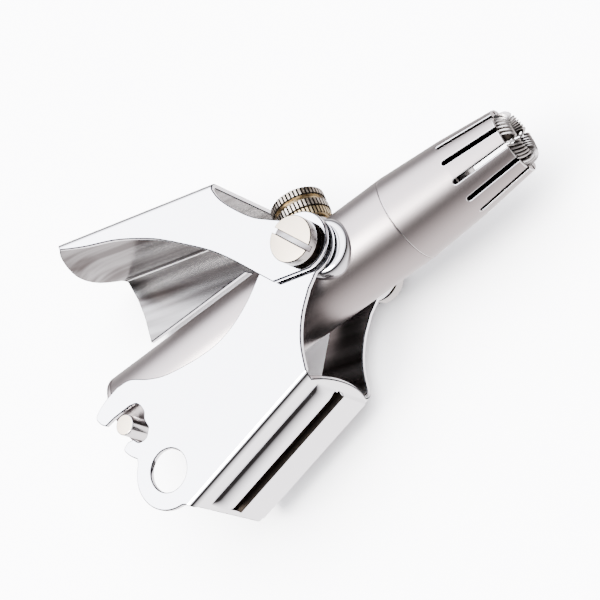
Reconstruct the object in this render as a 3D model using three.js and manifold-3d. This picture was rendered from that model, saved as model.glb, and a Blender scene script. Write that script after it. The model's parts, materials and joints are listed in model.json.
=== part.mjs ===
// Hand-squeezed nose hair trimmer lying on its side.
// Millimetres. X runs along the barrel toward the cutting head, Y toward the finger lever
// and Z up, along the pivot that both levers share. Shapes are drawn about the pivot and
// the mid plane, and the whole group is then set on the floor.
import * as THREE from 'three';
import { mergeVertices } from 'three/addons/utils/BufferGeometryUtils.js';
import Module from 'manifold-3d';

// ---- Driving dimensions -------------------------------------------------------------

// Where the pivot and the mid plane stand above the row's origin
const PIVOT_X = 5.17;
const PIVOT_Y = -1.51;
const MID_HEIGHT = 13.0;

// Barrel
const AXIS_Y = -1.0;
const BARREL_R = 7.0;
const BORE_R = 6.2;
const TAIL_X = -42.0;
const CAP_FACE_X = -41.0;
const SEAM_X = 12.6;
const SEAM_GAP = 0.12;
const SEAM_CHAMFER = 0.3;
const FIT_GAP = 0.1;

// Cutting head
const SLOT_COUNT = 12;
const SLOT_W = 0.8;
const SLOT_ROOT_X = 23.5;
const TIP_X = 32.3;
const ROOT_R = 6.25;
const TIP_R = 5.25;
const PRONG_WALL = 0.85;
const TIP_BEVEL = 0.3;
const SPIGOT_R = 5.5;
const SPIGOT_END_X = 19.0;

// Cutter inside the head
const ROTOR_BACK_R = 4.9;
const ROTOR_TIP_R = 4.15;
const ROTOR_WALL = 0.95;
const ROTOR_BACK_X = 22.0;
const ROTOR_TIP_X = 33.4;
const BLADE_COUNT = 6;
const BLADE_GAP = 1.3;
const SPINDLE_R = 1.1;
const PINION_R = 1.5;
const PINION_BACK_X = 2.9;
const PINION_L = 1.5;

// Pivot stack, measured out from the mid plane
const SHAFT_R = 1.5;
const LOWER_IN = 8.0;
const LOWER_OUT = 8.85;
const SPACER_IN = 8.93;
const SPACER_OUT = 9.17;
const UPPER_IN = 9.25;
const UPPER_OUT = 10.1;
const SCREW_IN = 10.16;
const SCREW_OUT = MID_HEIGHT;
const SCREW_R = 3.55;
const SCREW_SLOT_W = 0.85;
const SCREW_SLOT_DEPTH = 0.9;
const SCREW_SLOT_TURN = THREE.MathUtils.degToRad(-58);
const STUB_R = 0.8;

// Finger lever
const EAR_R = 4.5;
const EAR_LIFT = 0.5;
const ROOF_TILT = THREE.MathUtils.degToRad(-17.0);
const ROOF_DIST = 15.0;
const FLAP_END_X = -39.6;
const FLAP_EDGE_Y = 14.3;
const BEND_R = 1.25;

// Thumb lever
const WEB_TILT = THREE.MathUtils.degToRad(14.7);
const WEB_DIST = 15.0;
const LANYARD = { x: -35.0, y: -17.0, r: 3.3 };
const STOP_PIN = { x: -39.0, y: -6.6, r: 1.6, half: 9.5 };
const RIB = { z: 3.4, r: 3.6, proud: 1.6, from: -37.4, to: -12.9 };
const PANEL = { z: -4.3, w: 6.2, proud: 0.7, from: -37.4, to: -12.9 };

// Knurled knob on top of the collar
const KNOB_X = -2.3;
const STUD_R = 1.2;
const KNOB_R = 4.35;
const KNOB_LOW_R = 4.2;
const KNOB_WAIST_R = 3.6;
const KNURLS = 36;
const KNURL_DEPTH = 0.28;

const ROUND = 40;
const CHROME = { color: 0xe9ebf0, roughness: 0.08, metalness: 1 };
const SATIN = { color: 0xbab4b4, roughness: 0.34, metalness: 1 };
const BLASTED = { color: 0xdcd6cc, roughness: 0.5, metalness: 1 };
const DARK = { color: 0x5c5756, roughness: 0.4, metalness: 1 };
const BRASS = { color: 0xb59a63, roughness: 0.35, metalness: 1 };

// ---- Helpers ------------------------------------------------------------------------

const wasm = await Module();
wasm.setup();

/** Turns a closed three.js geometry into a solid that can be cut and joined. */
function solid(geometry) {
  const bare = geometry.clone();
  bare.deleteAttribute('normal');
  bare.deleteAttribute('uv');
  const merged = mergeVertices(bare, 1e-5);
  const mesh = new wasm.Mesh({
    numProp: 3,
    vertProperties: new Float32Array(merged.attributes.position.array),
    triVerts: new Uint32Array(merged.index.array),
  });
  return new wasm.Manifold(mesh);
}

/** Turns a solid back into a geometry with flat shading normals. */
function geometryOf(manifold) {
  const mesh = manifold.getMesh();
  const geometry = new THREE.BufferGeometry();
  geometry.setAttribute('position', new THREE.BufferAttribute(mesh.vertProperties, 3));
  geometry.setIndex(new THREE.BufferAttribute(mesh.triVerts, 1));
  geometry.computeVertexNormals();
  return geometry;
}

function points(pairs) {
  return pairs.map(([x, y]) => new THREE.Vector2(x, y));
}

/** A flat outline in XY, given thickness from z0 to z1. */
function slab(shape, z0, z1, curveSegments = 10) {
  const options = { depth: z1 - z0, bevelEnabled: false, curveSegments };
  return new THREE.ExtrudeGeometry(shape, options).translate(0, 0, z0);
}

/** A turned body about X at the barrel's axis, from [x, radius] pairs. */
function turnedX(pairs, segments = ROUND) {
  const profile = pairs.map(([x, r]) => new THREE.Vector2(r, x));
  const body = new THREE.LatheGeometry(profile, segments);
  return body.rotateZ(-Math.PI / 2).translate(0, AXIS_Y, 0);
}

/** A turned body about the pivot axis Z, from [z, radius] pairs. */
function turnedZ(pairs, segments = ROUND) {
  const profile = pairs.map(([z, r]) => new THREE.Vector2(r, z));
  return new THREE.LatheGeometry(profile, segments).rotateX(Math.PI / 2);
}

function ringX(x0, x1, inner, outer, segments = ROUND) {
  return turnedX([[x0, inner], [x0, outer], [x1, outer], [x1, inner], [x0, inner]], segments);
}

function rodZ(x, y, r, z0, z1, segments = 24) {
  const rod = new THREE.CylinderGeometry(r, r, z1 - z0, segments).rotateX(Math.PI / 2);
  return rod.translate(x, y, (z0 + z1) / 2);
}

function rodY(x, z, r, y0, y1, segments = 24) {
  const rod = new THREE.CylinderGeometry(r, r, y1 - y0, segments);
  return rod.translate(x, (y0 + y1) / 2, z);
}

function rodX(r, x0, x1, segments = ROUND) {
  const rod = new THREE.CylinderGeometry(r, r, x1 - x0, segments).rotateZ(-Math.PI / 2);
  return rod.translate((x0 + x1) / 2, AXIS_Y, 0);
}

const group = new THREE.Group();
group.name = 'nose_hair_trimmer';

function addPart(name, geometry, finish) {
  const material = new THREE.MeshStandardMaterial(finish);
  const mesh = new THREE.Mesh(geometry, material);
  mesh.name = name;
  group.add(mesh);
}

// ---- Barrel -------------------------------------------------------------------------

const barrelProfile = [
  [CAP_FACE_X + FIT_GAP, BORE_R],
  [CAP_FACE_X + FIT_GAP, BARREL_R],
  [SEAM_X - SEAM_GAP - SEAM_CHAMFER, BARREL_R],
  [SEAM_X - SEAM_GAP, BARREL_R - SEAM_CHAMFER],
  [SEAM_X - SEAM_GAP, BORE_R],
  [CAP_FACE_X + FIT_GAP, BORE_R],
];
const pinHole = solid(rodZ(STOP_PIN.x, STOP_PIN.y, STOP_PIN.r + FIT_GAP, -BARREL_R, BARREL_R));
const shaftHole = solid(rodZ(0, 0, SHAFT_R + FIT_GAP, -LOWER_IN, LOWER_IN));
const studHole = solid(rodY(KNOB_X, 0, STUD_R + FIT_GAP, 0, UPPER_IN));

const barrel = solid(turnedX(barrelProfile, 48))
  .subtract(pinHole)
  .subtract(shaftHole)
  .subtract(studHole);
addPart('barrel_tube', geometryOf(barrel), SATIN);

const CAP_ROUND = 0.35;
const PLUG_END_X = -34.5;
const capProfile = [
  [TAIL_X, 0],
  [TAIL_X, BARREL_R - CAP_ROUND * 2],
  [TAIL_X + CAP_ROUND * 0.6, BARREL_R - CAP_ROUND * 0.6],
  [TAIL_X + CAP_ROUND * 2, BARREL_R],
  [CAP_FACE_X, BARREL_R],
  [CAP_FACE_X, BORE_R - FIT_GAP],
  [PLUG_END_X, BORE_R - FIT_GAP],
  [PLUG_END_X, 0],
];
addPart('tail_cap', geometryOf(solid(turnedX(capProfile, 48)).subtract(pinHole)), SATIN);

const PIN_CHAMFER = 0.2;
const pinProfile = [
  [-STOP_PIN.half, 0],
  [-STOP_PIN.half, STOP_PIN.r - PIN_CHAMFER],
  [-STOP_PIN.half + PIN_CHAMFER, STOP_PIN.r],
  [STOP_PIN.half - PIN_CHAMFER, STOP_PIN.r],
  [STOP_PIN.half, STOP_PIN.r - PIN_CHAMFER],
  [STOP_PIN.half, 0],
];
addPart('stop_pin', turnedZ(pinProfile, 24).translate(STOP_PIN.x, STOP_PIN.y, 0), BLASTED);

// ---- Pivot bosses and the knob's seat, saddled on the barrel --------------------------

const BOSS_X = 1.6;
const BOSS_R = 4.5;
const BOSS_TOP = 7.8;
const BOSS_ROUND = 2.4;
const BOSS_STEPS = 6;
const SEAT_R = 3.6;
const SEAT_TOP_Y = 7.5;
const aroundBarrel = solid(rodX(BARREL_R + FIT_GAP, TAIL_X, SEAM_X, 96));
const bossProfile = [[0, 0], [0, BOSS_R]];
for (let i = 0; i <= BOSS_STEPS; i += 1) {
  const angle = (i / BOSS_STEPS) * 0.5 * Math.PI;
  bossProfile.push([
    BOSS_TOP - BOSS_ROUND * (1 - Math.sin(angle)),
    BOSS_R - BOSS_ROUND * (1 - Math.cos(angle)),
  ]);
}
bossProfile.push([BOSS_TOP, 0]);
for (const [side, sign] of [['near', 1], ['far', -1]]) {
  const boss = turnedZ(bossProfile, 40);
  if (sign < 0) {
    boss.rotateX(Math.PI);
  }
  const saddled = solid(boss.translate(BOSS_X, AXIS_Y, 0)).subtract(aroundBarrel).subtract(shaftHole);
  addPart(`pivot_boss_${side}`, geometryOf(saddled), CHROME);
}
const seat = solid(rodY(KNOB_X, 0, SEAT_R, 0, SEAT_TOP_Y, 40));
addPart('knob_seat', geometryOf(seat.subtract(aroundBarrel).subtract(studHole)), CHROME);

// ---- Cutting head -------------------------------------------------------------------

const GUARD_BORE_R = SPIGOT_R + FIT_GAP;
const guardProfile = [
  [SEAM_X, GUARD_BORE_R],
  [SEAM_X, BARREL_R - SEAM_CHAMFER],
  [SEAM_X + SEAM_CHAMFER, BARREL_R],
  [SLOT_ROOT_X, ROOT_R],
  [TIP_X - TIP_BEVEL, TIP_R],
  [TIP_X, TIP_R - TIP_BEVEL],
  [TIP_X, TIP_R - PRONG_WALL],
  [SLOT_ROOT_X - 1, ROOT_R - PRONG_WALL],
  [SPIGOT_END_X + 1, GUARD_BORE_R],
  [SEAM_X, GUARD_BORE_R],
];
let guard = solid(turnedX(guardProfile, 48));
for (let i = 0; i < SLOT_COUNT / 2; i += 1) {
  const straight = TIP_X + 1 - SLOT_ROOT_X;
  const cut = new THREE.BoxGeometry(straight, 4 * BARREL_R, SLOT_W)
    .translate(SLOT_ROOT_X + straight / 2, 0, 0);
  const root = new THREE.CylinderGeometry(SLOT_W / 2, SLOT_W / 2, 4 * BARREL_R, 8)
    .translate(SLOT_ROOT_X, 0, 0);
  const turn = (i * 2 * Math.PI) / SLOT_COUNT;
  guard = guard
    .subtract(solid(cut.rotateX(turn).translate(0, AXIS_Y, 0)))
    .subtract(solid(root.rotateX(turn).translate(0, AXIS_Y, 0)));
}
addPart('head_guard', geometryOf(guard), SATIN);

const SPIGOT_BORE_R = 4.7;
const SPIGOT_BACK_X = 8.0;
const spigotProfile = [
  [SPIGOT_BACK_X, SPIGOT_BORE_R],
  [SPIGOT_BACK_X, BORE_R - FIT_GAP],
  [SEAM_X - 0.3, BORE_R - FIT_GAP],
  [SEAM_X - 0.3, SPIGOT_R - 0.3],
  [SEAM_X + 0.4, SPIGOT_R - 0.3],
  [SEAM_X + 0.7, SPIGOT_R],
  [SPIGOT_END_X - 0.4, SPIGOT_R],
  [SPIGOT_END_X, SPIGOT_R - 0.4],
  [SPIGOT_END_X, SPIGOT_BORE_R],
  [SPIGOT_BACK_X, SPIGOT_BORE_R],
];
addPart('guard_spigot', turnedX(spigotProfile), DARK);

// ---- Cutter and its drive -----------------------------------------------------------

const BLADE_ROOT_X = 23.4;
const ROTOR_FLOOR = 1.0;
const rotorProfile = [
  [ROTOR_BACK_X, SPINDLE_R + FIT_GAP],
  [ROTOR_BACK_X, ROTOR_BACK_R - 0.3],
  [ROTOR_BACK_X + 0.3, ROTOR_BACK_R],
  [ROTOR_TIP_X - 1.3, ROTOR_TIP_R],
  [ROTOR_TIP_X - 0.5, ROTOR_TIP_R],
  [ROTOR_TIP_X, ROTOR_TIP_R - 0.4],
  [ROTOR_TIP_X, ROTOR_TIP_R - ROTOR_WALL],
  [ROTOR_BACK_X + ROTOR_FLOOR, ROTOR_BACK_R - ROTOR_WALL],
  [ROTOR_BACK_X + ROTOR_FLOOR, SPINDLE_R + FIT_GAP],
  [ROTOR_BACK_X, SPINDLE_R + FIT_GAP],
];
let rotor = solid(turnedX(rotorProfile, 48));
for (let i = 0; i < BLADE_COUNT / 2; i += 1) {
  const length = ROTOR_TIP_X + 1 - BLADE_ROOT_X;
  const cut = new THREE.BoxGeometry(length, 3 * ROTOR_BACK_R, BLADE_GAP)
    .rotateX((i * 2 * Math.PI) / BLADE_COUNT)
    .translate(BLADE_ROOT_X + length / 2, AXIS_Y, 0);
  rotor = rotor.subtract(solid(cut));
}
addPart('cutter_rotor', geometryOf(rotor), DARK);

const NUT_R = 2.3;
const NUT_L = 1.6;
const NUT_BACK_X = ROTOR_BACK_X + ROTOR_FLOOR + FIT_GAP;
const nutProfile = [
  [NUT_BACK_X, SPINDLE_R + FIT_GAP],
  [NUT_BACK_X, NUT_R],
  [NUT_BACK_X + NUT_L - 0.4, NUT_R],
  [NUT_BACK_X + NUT_L, NUT_R - 0.5],
  [NUT_BACK_X + NUT_L, SPINDLE_R + FIT_GAP],
  [NUT_BACK_X, SPINDLE_R + FIT_GAP],
];
addPart('rotor_nut', turnedX(nutProfile, 24), DARK);

const SPINDLE_BACK_X = PINION_BACK_X + PINION_L + FIT_GAP;
addPart('spindle', rodX(SPINDLE_R, SPINDLE_BACK_X, NUT_BACK_X + NUT_L, 32), SATIN);

/** The outline of a straight-toothed wheel. */
function toothed(count, tip, root) {
  const outline = [];
  const step = (2 * Math.PI) / count;
  for (let i = 0; i < count; i += 1) {
    for (const [share, r] of [[0, tip], [0.5, root]]) {
      const angle = (i + share) * step;
      outline.push(new THREE.Vector2(r * Math.cos(angle), r * Math.sin(angle)));
    }
  }
  return new THREE.Shape(outline);
}

const pinion = slab(toothed(10, PINION_R, PINION_R - 0.35), 0, PINION_L)
  .rotateY(Math.PI / 2)
  .translate(PINION_BACK_X, AXIS_Y, 0);
addPart('pinion', pinion, SATIN);

const CROWN_FACE = -1.65;
const CROWN_BACK = -3.1;
const CROWN_R = 4.2;
const CROWN_TEETH = 24;
const crownProfile = [
  [CROWN_BACK, SHAFT_R + FIT_GAP],
  [CROWN_BACK, CROWN_R],
  [CROWN_FACE, CROWN_R],
  [CROWN_FACE, SHAFT_R + FIT_GAP],
  [CROWN_BACK, SHAFT_R + FIT_GAP],
];
let crown = solid(turnedZ(crownProfile, 24));
for (let i = 0; i < CROWN_TEETH; i += 1) {
  const gap = new THREE.BoxGeometry(1.6, 0.4, 0.8)
    .translate(CROWN_R - 0.5, 0, CROWN_FACE)
    .rotateZ((i * 2 * Math.PI) / CROWN_TEETH);
  crown = crown.subtract(solid(gap));
}
addPart('crown_wheel', geometryOf(crown), BRASS);

const BEARING_W = 1.8;
for (const [name, x, r] of [
  ['rear_bearing', SPINDLE_BACK_X + 0.6, BORE_R - FIT_GAP],
  ['front_bearing', SPIGOT_END_X - 2.6, SPIGOT_BORE_R - FIT_GAP],
]) {
  addPart(name, ringX(x, x + BEARING_W, SPINDLE_R + FIT_GAP, r), BRASS);
}

// ---- Pivot shaft, spacers, screws and return spring -----------------------------------

const STUB_DEPTH = 3.2;
const shaftProfile = [
  [-SPACER_OUT, STUB_R + FIT_GAP],
  [-SPACER_OUT, SHAFT_R],
  [SPACER_OUT, SHAFT_R],
  [SPACER_OUT, STUB_R + FIT_GAP],
  [SPACER_OUT - STUB_DEPTH, STUB_R + FIT_GAP],
  [SPACER_OUT - STUB_DEPTH, 0],
  [STUB_DEPTH - SPACER_OUT, 0],
  [STUB_DEPTH - SPACER_OUT, STUB_R + FIT_GAP],
  [-SPACER_OUT, STUB_R + FIT_GAP],
];
addPart('pivot_shaft', turnedZ(shaftProfile, 24), SATIN);

const SCREW_ROUND = 0.25;
const SPACER_R = 3.6;
for (const [side, sign] of [['near', 1], ['far', -1]]) {
  const headProfile = [
    [SPACER_OUT - STUB_DEPTH + FIT_GAP, 0],
    [SPACER_OUT - STUB_DEPTH + FIT_GAP, STUB_R],
    [SCREW_IN, STUB_R],
    [SCREW_IN, SCREW_R],
    [SCREW_OUT - SCREW_ROUND, SCREW_R],
    [SCREW_OUT, SCREW_R - SCREW_ROUND],
    [SCREW_OUT, 0],
  ];
  const slot = new THREE.BoxGeometry(3 * SCREW_R, SCREW_SLOT_W, 2 * SCREW_SLOT_DEPTH)
    .rotateZ(SCREW_SLOT_TURN)
    .translate(0, 0, SCREW_OUT);
  const screw = geometryOf(solid(turnedZ(headProfile, 32)).subtract(solid(slot)));
  const spacer = turnedZ([
    [SPACER_IN, SHAFT_R + FIT_GAP],
    [SPACER_IN, SPACER_R],
    [SPACER_OUT, SPACER_R],
    [SPACER_OUT, SHAFT_R + FIT_GAP],
    [SPACER_IN, SHAFT_R + FIT_GAP],
  ], 24);
  if (sign < 0) {
    screw.rotateX(Math.PI);
    spacer.rotateX(Math.PI);
  }
  addPart(`pivot_screw_${side}`, screw, BLASTED);
  addPart(`ear_spacer_${side}`, spacer, SATIN);
}

const SPRING_R = 2.5;
const SPRING_WIRE_R = 0.28;
const SPRING_TURNS = 4;
const SPRING_START = 2.2;
const SPRING_PITCH = 0.75;
const coil = [];
for (let i = 0; i <= SPRING_TURNS * 12; i += 1) {
  const angle = (i / 12) * 2 * Math.PI;
  const z = SPRING_START + SPRING_PITCH * (i / 12);
  coil.push(new THREE.Vector3(SPRING_R * Math.cos(angle), SPRING_R * Math.sin(angle), z));
}
const wireOutline = new THREE.Shape();
wireOutline.absarc(0, 0, SPRING_WIRE_R, 0, 2 * Math.PI);
const coilOptions = {
  steps: SPRING_TURNS * 12,
  curveSegments: 3,
  bevelEnabled: false,
  extrudePath: new THREE.CatmullRomCurve3(coil),
};
addPart('return_spring', new THREE.ExtrudeGeometry(wireOutline, coilOptions), SATIN);

// ---- Levers -------------------------------------------------------------------------

/** A U channel open toward +Y, its back at y = -distance, then turned about the pivot. */
function channel(distance, inside, outside, tilt, x0, x1, height) {
  const thickness = outside - inside;
  const inner = BEND_R - thickness;
  const u = new THREE.Shape();
  u.moveTo(-outside, -distance + height);
  u.lineTo(-outside, -distance + BEND_R);
  u.absarc(-outside + BEND_R, -distance + BEND_R, BEND_R, Math.PI, 1.5 * Math.PI);
  u.absarc(outside - BEND_R, -distance + BEND_R, BEND_R, 1.5 * Math.PI, 2 * Math.PI);
  u.lineTo(outside, -distance + height);
  u.lineTo(inside, -distance + height);
  u.absarc(inside - inner, -distance + thickness + inner, inner, 0, -0.5 * Math.PI, true);
  u.absarc(inner - inside, -distance + thickness + inner, inner, 1.5 * Math.PI, Math.PI, true);
  u.lineTo(-inside, -distance + height);
  u.closePath();
  const body = slab(u, x0, x1, 3);
  // The outline's x becomes the channel's width along Z and its depth becomes X
  body.rotateY(Math.PI / 2);
  return body.rotateZ(tilt);
}

/** An ear round the pivot, left and re-joined by the cheek's two edges. */
function earArc(shape, lift, from, to) {
  const start = new THREE.Vector2(EAR_R * Math.cos(from), lift + EAR_R * Math.sin(from));
  shape.lineTo(start.x, start.y);
  shape.absarc(0, lift, EAR_R, from, to);
}

/** The near cheek: ear, hand-width plate, pin notch and lanyard lobe. */
function thumbOutline() {
  const s = new THREE.Shape();
  s.moveTo(-8.4, -21.0);
  s.lineTo(-8.1, -17.2);
  s.splineThru(points([[-7.0, -12.6], [-5.0, -8.9], [-2.4, -6.0]]));
  earArc(s, 0, -0.52 * Math.PI, 0.62 * Math.PI);
  s.lineTo(-8.8, 0.9);
  s.splineThru(points([[-12.7, -1.8], [-17.2, -3.8], [-22.0, -4.4], [-28.8, -3.6]]));
  s.splineThru(points([[-32.4, -2.3], [-35.6, -0.4], [-38.3, -0.1]]));
  // Upper finger of the notch
  s.splineThru(points([[-41.4, -0.9], [-43.6, -2.2], [-43.4, -3.6], [-42.6, -4.5]]));
  s.lineTo(-40.6, -4.2);
  s.lineTo(-37.4, -4.1);
  s.splineThru(points([[-36.0, -4.6], [-35.4, -6.2], [-35.8, -7.5], [-35.6, -9.0]]));
  s.splineThru(points([[-36.6, -10.2], [-38.0, -10.2], [-38.8, -9.2]]));
  // Lower finger, then the lanyard lobe
  s.splineThru(points([[-40.0, -9.1], [-41.0, -9.8], [-40.4, -11.2], [-39.4, -12.4]]));
  s.absarc(LANYARD.x, LANYARD.y, 6.0, 0.79 * Math.PI, 1.5 * Math.PI);
  s.lineTo(-33.8, -23.6);
  s.lineTo(-33.4, -27.0);
  s.lineTo(-8.4, -27.0);
  s.closePath();
  const hole = new THREE.Path();
  hole.absarc(LANYARD.x, LANYARD.y, LANYARD.r, 0, 2 * Math.PI, true);
  s.holes.push(hole);
  const pivot = new THREE.Path();
  pivot.absarc(0, 0, SHAFT_R + FIT_GAP, 0, 2 * Math.PI, true);
  s.holes.push(pivot);
  return s;
}

/** The far cheek: an arm from the ear that widens into a low flange along the web. */
function thumbFarOutline() {
  const s = new THREE.Shape();
  s.moveTo(-8.4, -21.0);
  s.lineTo(-8.1, -17.2);
  s.splineThru(points([[-7.0, -12.6], [-5.0, -8.9], [-2.4, -6.0]]));
  earArc(s, 0, -0.52 * Math.PI, 0.78 * Math.PI);
  s.lineTo(-9.9, -4.7);
  s.splineThru(points([[-12.6, -8.1], [-15.6, -11.9], [-18.6, -15.4], [-21.6, -17.4], [-25.4, -18.6]]));
  s.lineTo(-33.9, -20.6);
  s.lineTo(-32.4, -27.0);
  s.lineTo(-8.4, -27.0);
  s.closePath();
  const pivot = new THREE.Path();
  pivot.absarc(0, 0, SHAFT_R + FIT_GAP, 0, 2 * Math.PI, true);
  s.holes.push(pivot);
  return s;
}

function fingerOutline(deep) {
  const s = new THREE.Shape();
  s.moveTo(-9.9, 23.0);
  s.lineTo(-46.0, 34.0);
  if (deep) {
    s.lineTo(-46.0, 27.6);
    s.lineTo(FLAP_END_X - 0.5, 26.2);
    s.lineTo(FLAP_END_X, 22.6);
    s.lineTo(FLAP_END_X, 19.0);
    s.lineTo(FLAP_END_X - 0.6, FLAP_EDGE_Y);
    s.lineTo(-19.5, FLAP_EDGE_Y);
  } else {
    s.lineTo(-46.0, 27.4);
    s.lineTo(-38.6, 26.2);
    s.splineThru(points([[-36.4, 24.9], [-33.6, 23.4], [-28.2, 20.8], [-22.7, 17.1], [-19.5, 14.3]]));
  }
  s.splineThru(points([[-14.4, 9.1], [-11.4, 5.2], [-8.2, 0.2], [-6.6, -2.3]]));
  earArc(s, EAR_LIFT, -0.6 * Math.PI, 0.56 * Math.PI);
  s.splineThru(points([[-3.0, 6.7], [-5.4, 8.9], [-7.7, 12.2], [-9.3, 15.4], [-9.9, 18.6]]));
  s.closePath();
  const hole = new THREE.Path();
  hole.absarc(0, 0, STUB_R + FIT_GAP, 0, 2 * Math.PI, true);
  s.holes.push(hole);
  return s;
}

// Thumb lever: channel, cut to its side outline and to the rounded front edge of its web
const webFront = new THREE.Shape();
webFront.moveTo(-60, -12);
webFront.lineTo(20, -12);
webFront.lineTo(20, 12);
webFront.lineTo(-60, 12);
webFront.closePath();
const thumbChannel = solid(channel(WEB_DIST, LOWER_IN, LOWER_OUT, WEB_TILT, -48, 8, 24));
const thumbSide = solid(slab(thumbOutline(), 0, 12, 5)).add(solid(slab(thumbFarOutline(), -12, 0, 5)));
const WEB_TAIL = -38.4;
const WEB_NOSE = -12.9;
const webPlan = new THREE.Shape();
webPlan.moveTo(WEB_TAIL, -12);
webPlan.lineTo(WEB_NOSE, -12);
webPlan.lineTo(WEB_NOSE, -8.4);
webPlan.splineThru(points([[WEB_NOSE + 1.2, -4.4], [WEB_NOSE + 1.6, 0], [WEB_NOSE + 1.2, 4.4]]));
webPlan.lineTo(WEB_NOSE, 8.4);
webPlan.lineTo(WEB_NOSE, 12);
webPlan.lineTo(WEB_TAIL, 12);
webPlan.closePath();
const webBand = solid(
  slab(webPlan, 0, 4, 5).rotateX(Math.PI / 2).translate(0, -WEB_DIST + 2.5, 0).rotateZ(WEB_TILT),
);
const aboveWeb = solid(
  new THREE.BoxGeometry(90, 40, 24).translate(0, -WEB_DIST + BEND_R + 20, 0).rotateZ(WEB_TILT),
);
const ribLength = RIB.to - RIB.from;
const rib = solid(
  new THREE.CylinderGeometry(RIB.r, RIB.r, ribLength, 48)
    .rotateZ(Math.PI / 2)
    .translate((RIB.to + RIB.from) / 2, -WEB_DIST + RIB.r - RIB.proud, RIB.z)
    .rotateZ(WEB_TILT),
);
const panel = solid(
  new THREE.BoxGeometry(PANEL.to - PANEL.from, 2 * PANEL.proud, PANEL.w)
    .translate((PANEL.to + PANEL.from) / 2, -WEB_DIST, PANEL.z)
    .rotateZ(WEB_TILT),
);
const insideChannel = solid(
  new THREE.BoxGeometry(90, 40, 2 * LOWER_IN - 2)
    .translate(0, -WEB_DIST + LOWER_OUT - LOWER_IN + 20, 0)
    .rotateZ(WEB_TILT),
);
const thumbLever = thumbChannel
  .intersect(thumbSide)
  .intersect(webBand.add(aboveWeb))
  .add(rib)
  .add(panel)
  .subtract(insideChannel);
addPart('thumb_lever', geometryOf(thumbLever), CHROME);

// Finger lever: the same kind of channel turned over, with a rounded tongue at its tail
const fingerTilt = Math.PI + ROOF_TILT;
const fingerChannel = solid(channel(ROOF_DIST, UPPER_IN, UPPER_OUT, fingerTilt, -8, 49, 24));
const nearSide = solid(slab(fingerOutline(false), 0, 12, 6));
const farSide = solid(slab(fingerOutline(true), -12, 0, 6));
const TONGUE_X = -44.2;
const tonguePlan = new THREE.Shape();
tonguePlan.moveTo(-0.5, -12);
tonguePlan.lineTo(TONGUE_X, -12);
tonguePlan.lineTo(TONGUE_X - 2.3, -UPPER_OUT);
tonguePlan.splineThru(points([
  [TONGUE_X - 3.8, -7.6],
  [TONGUE_X - 4.4, -3.4],
  [TONGUE_X - 4.2, 2.0],
  [TONGUE_X - 2.6, 7.0],
  [TONGUE_X, UPPER_OUT],
]));
tonguePlan.lineTo(-0.5, 12);
tonguePlan.closePath();
const tongueBand = solid(
  slab(tonguePlan, 0, 4, 5).rotateX(Math.PI / 2).translate(0, ROOF_DIST + 1.5, 0).rotateZ(ROOF_TILT),
).add(solid(
  new THREE.BoxGeometry(90, 40, 24).translate(0, ROOF_DIST - BEND_R - 20, 0).rotateZ(ROOF_TILT),
));
const fingerLever = fingerChannel.intersect(nearSide.add(farSide)).intersect(tongueBand);
addPart('finger_lever', geometryOf(fingerLever), CHROME);

// ---- Knurled knob -------------------------------------------------------------------

const KNOB_LAYERS = [
  { name: 'knob_base', y0: 7.7, y1: 9.0, r: KNOB_LOW_R, finish: DARK },
  { name: 'knob_rim_lower', y0: 9.05, y1: 10.5, r: KNOB_R, finish: DARK },
  { name: 'knob_waist', y0: 10.55, y1: 11.15, r: KNOB_WAIST_R, finish: BRASS },
  { name: 'knob_rim_upper', y0: 11.2, y1: 12.6, r: KNOB_R, finish: DARK },
];
for (const layer of KNOB_LAYERS) {
  const outline = layer.name === 'knob_waist'
    ? new THREE.Shape().absarc(0, 0, layer.r, 0, 2 * Math.PI)
    : toothed(KNURLS, layer.r, layer.r - KNURL_DEPTH);
  const bore = new THREE.Path();
  bore.absarc(0, 0, STUD_R + FIT_GAP, 0, 2 * Math.PI, true);
  outline.holes.push(bore);
  const disc = slab(outline, layer.y0, layer.y1, 10).rotateX(-Math.PI / 2).translate(KNOB_X, 0, 0);
  addPart(layer.name, disc, layer.finish);
}
addPart('knob_stud', rodY(KNOB_X, 0, STUD_R, 4.4, 12.3), SATIN);

group.position.set(PIVOT_X, PIVOT_Y, MID_HEIGHT);
group.updateMatrixWorld(true);

export default group;
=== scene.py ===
"""Looks of the hand-squeezed nose hair trimmer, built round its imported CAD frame.

Lengths in this file are in millimetres about the levers' pivot and the mid plane, as the
part is designed: x toward the cutting head, y toward the finger lever, z up along the
pivot. place() turns them into the row frame in metres.
"""

import json
import math

import bmesh
import bpy
import numpy as np
from mathutils import Matrix, Vector

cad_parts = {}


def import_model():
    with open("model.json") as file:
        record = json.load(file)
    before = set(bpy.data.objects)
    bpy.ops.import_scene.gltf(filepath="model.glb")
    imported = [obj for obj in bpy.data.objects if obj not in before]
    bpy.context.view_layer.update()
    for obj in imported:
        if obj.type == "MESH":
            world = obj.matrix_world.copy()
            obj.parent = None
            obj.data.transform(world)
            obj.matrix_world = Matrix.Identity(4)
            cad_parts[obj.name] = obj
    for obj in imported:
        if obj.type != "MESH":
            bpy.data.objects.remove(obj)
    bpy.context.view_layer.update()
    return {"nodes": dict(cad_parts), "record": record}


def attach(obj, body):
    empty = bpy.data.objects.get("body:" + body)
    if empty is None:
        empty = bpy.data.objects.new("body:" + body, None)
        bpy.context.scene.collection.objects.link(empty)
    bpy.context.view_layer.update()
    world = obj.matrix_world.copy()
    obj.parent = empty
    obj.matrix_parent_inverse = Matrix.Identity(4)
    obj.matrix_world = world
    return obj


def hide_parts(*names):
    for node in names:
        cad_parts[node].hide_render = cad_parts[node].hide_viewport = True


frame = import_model()

MM = 0.001

# The pivot on the mid plane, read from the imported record
joint = next(j for j in frame["record"]["behaviour"]["joints"] if j["name"] == "finger_squeeze")
PIVOT = Vector(joint["pos_m"])

# ---- Dimensions, as in the CAD ----------------------------------------------------------

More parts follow.
